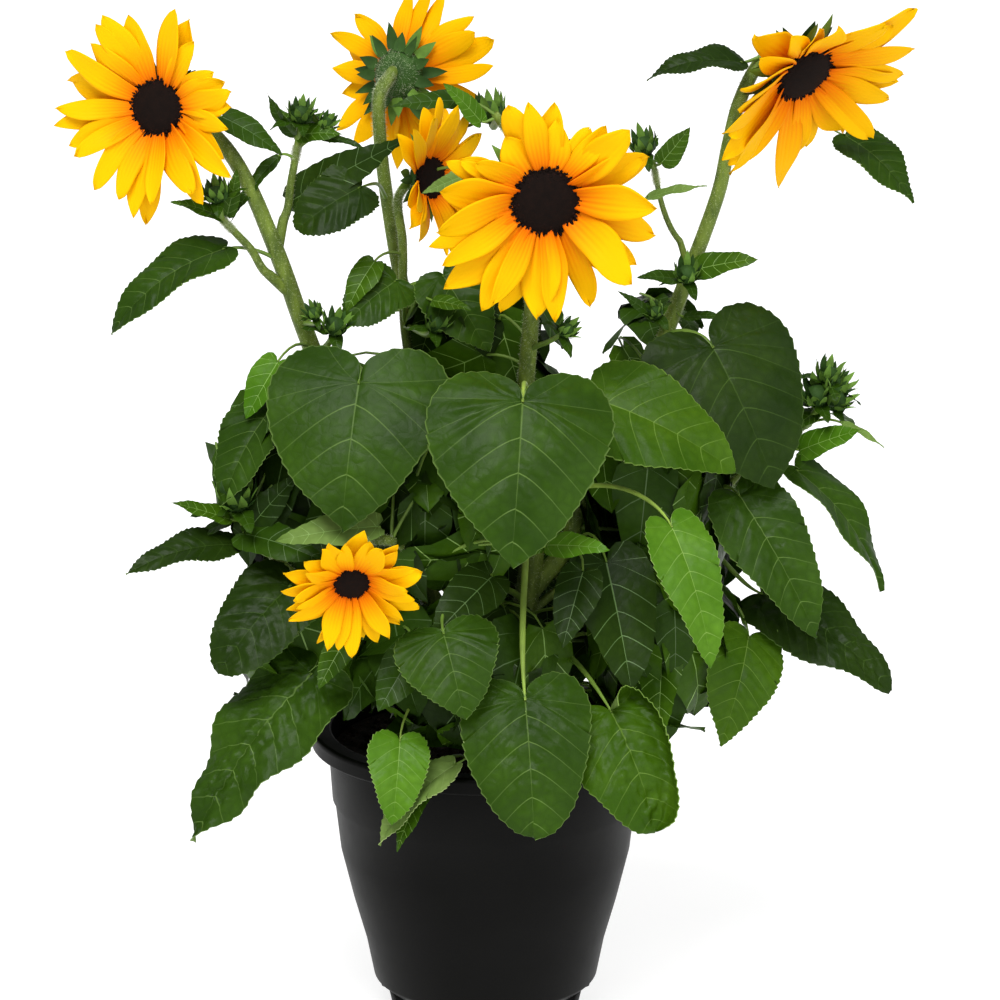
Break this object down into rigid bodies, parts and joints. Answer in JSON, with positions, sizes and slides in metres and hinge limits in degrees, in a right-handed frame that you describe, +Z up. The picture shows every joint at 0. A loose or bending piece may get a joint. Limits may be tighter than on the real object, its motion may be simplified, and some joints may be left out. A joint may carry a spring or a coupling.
{
  "type": "potted sunflower plant",
  "caption": "Branching sunflower plant in a round tapered pot: hairy stems, heart-shaped leaves, dark-centred yellow flower heads and green buds.",
  "frame": {"origin": "centre of the pot's flat underside", "axes": "+Z up along the pot's axis, the flowers' front at -Y, +X to the plant's right as seen from the front"},
  "size_m": [0.5024, 0.3172, 0.62],
  "materials": {
    "pot_plastic": "black moulded plastic, satin",
    "potting_soil": "dark moist crumbly soil",
    "stem": "olive green, ribbed, fine pale hairs",
    "flower": "golden yellow petals round a dark brown disc",
    "leaf": "green, satin, pale veins",
    "foliage": "dark green clumps of leaves"
  },
  "bodies": {
    "root": {"pot": "pot_plastic", "soil": "potting_soil", "main_stem": "stem", "stem_front": "stem", "stem_left": "stem", "stem_back": "stem", "stem_middle": "stem", "stem_right": "stem", "stem_low": "stem", "branch_bud_left": "stem", "branch_bud_upper": "stem", "branch_bud_right": "stem", "branch_bud_node": "stem", "branch_bud_hairy": "stem", "branch_bud_low": "stem", "head_left": "flower", "head_back": "flower", "head_middle": "flower", "head_front": "flower", "head_right": "flower", "head_low": "flower", "leaf_heart_left": "leaf", "leaf_heart_front": "leaf", "leaf_pale_right": "leaf", "leaf_dark_right": "leaf", "leaf_hang_right": "leaf", "leaf_edge_right": "leaf", "leaf_far_right": "leaf", "leaf_bright_right": "leaf", "leaf_low_right": "leaf", "leaf_pot_front": "leaf", "leaf_pot_right": "leaf", "leaf_pot_left": "leaf", "leaf_folded_left": "leaf", "leaf_far_left": "leaf", "leaf_left_dark": "leaf", "leaf_left_point": "leaf", "leaf_left_mid": "leaf", "leaf_side_left": "leaf", "leaf_round_left": "leaf", "leaf_behind_front": "leaf", "leaf_round_middle": "leaf", "leaf_top_right": "leaf", "leaf_under_head": "leaf", "leaf_centre_low": "leaf", "mass_low_front": "foliage", "mass_low_left": "foliage", "mass_low_right": "foliage", "mass_mid_left": "foliage", "mass_mid_centre": "foliage", "mass_mid_right": "foliage", "mass_crown_middle": "foliage", "mass_crown_right": "foliage", "mass_back_left": "foliage", "mass_back_centre": "foliage", "mass_back_right": "foliage", "mass_bud_left": "foliage", "mass_bud_upper": "foliage", "mass_bud_right": "foliage", "mass_bud_low": "foliage"}
  },
  "joints": []
}
